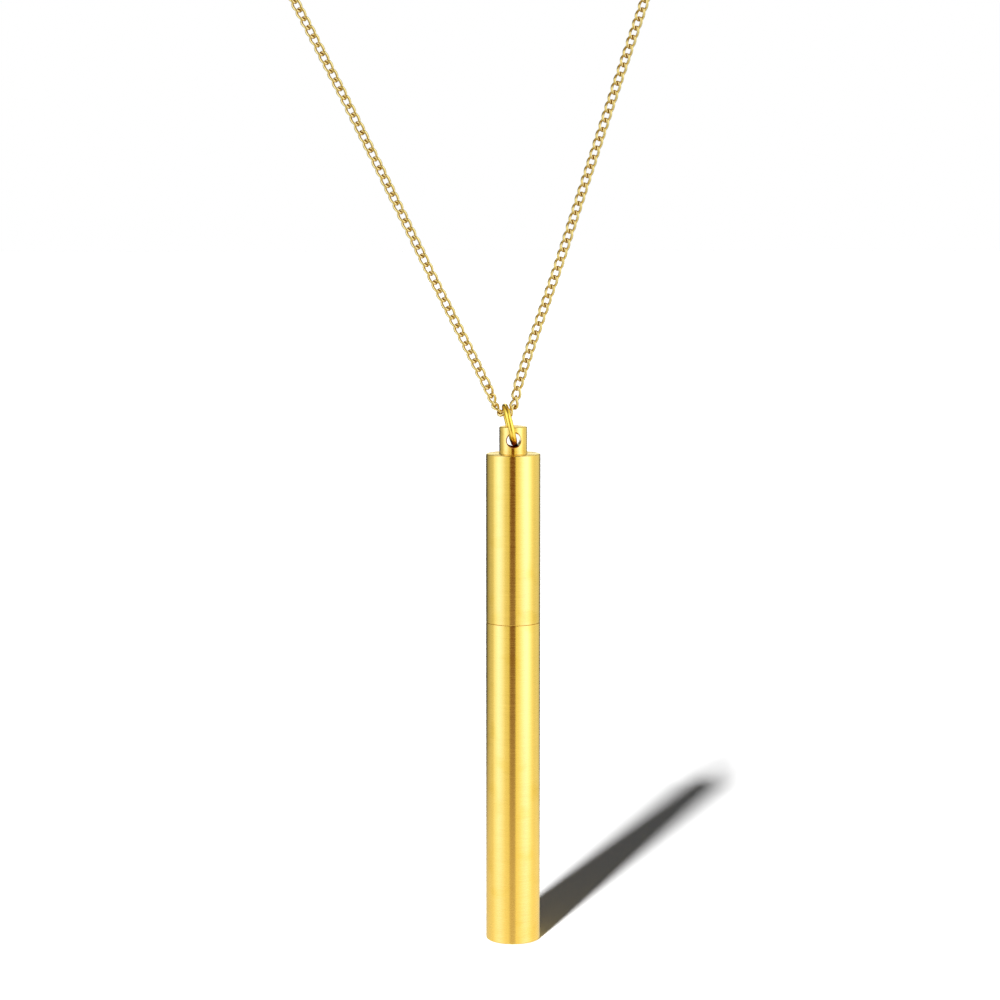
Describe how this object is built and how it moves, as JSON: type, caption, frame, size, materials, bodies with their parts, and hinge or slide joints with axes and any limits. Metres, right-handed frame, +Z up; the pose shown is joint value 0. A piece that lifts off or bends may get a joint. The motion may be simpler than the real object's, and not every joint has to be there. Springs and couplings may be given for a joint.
{
  "type": "cylinder pendant necklace",
  "caption": "Slim cylindrical capsule pendant hung by a jump ring through a drilled stud on a fine curb chain, closed by a barrel clasp; its lower tube draws off.",
  "frame": {"origin": "middle of the clasp at the nape of the neck, where the necklace hangs", "axes": "+Z up along the hanging pendant, -Y the front that faces the viewer, +X the viewer's right"},
  "size_m": [0.1154, 0.1056, 0.2253],
  "materials": {
    "brushed_gold": "gold-plated steel, brushed round the tube",
    "ring_gold": "gold-plated steel wire, polished",
    "chain_gold": "gold-plated steel links, polished",
    "clasp_gold": "gold-plated steel, polished"
  },
  "bodies": {
    "necklace": {"chain": "chain_gold", "clasp": "clasp_gold"},
    "ring": {"jump_ring": "ring_gold"},
    "upper": {"cap": "brushed_gold"},
    "lower": {"lower_tube": "brushed_gold"}
  },
  "joints": [
    {"name": "ring_swing", "type": "hinge", "parent": "necklace", "child": "ring", "pos_m": [0.011, -0.1, -0.145], "axis": [0.9703, 0, 0.2419], "range_deg": [-90, 90]},
    {"name": "pendant_swing", "type": "hinge", "parent": "ring", "child": "upper", "pos_m": [0.0119, -0.1, -0.14863], "axis": [0, 1, 0], "range_deg": [-70, 70]},
    {"name": "tube_draw", "type": "slide", "parent": "upper", "child": "lower", "axis": [0, 0, -1], "range_m": [0, 0.0045]}
  ]
}
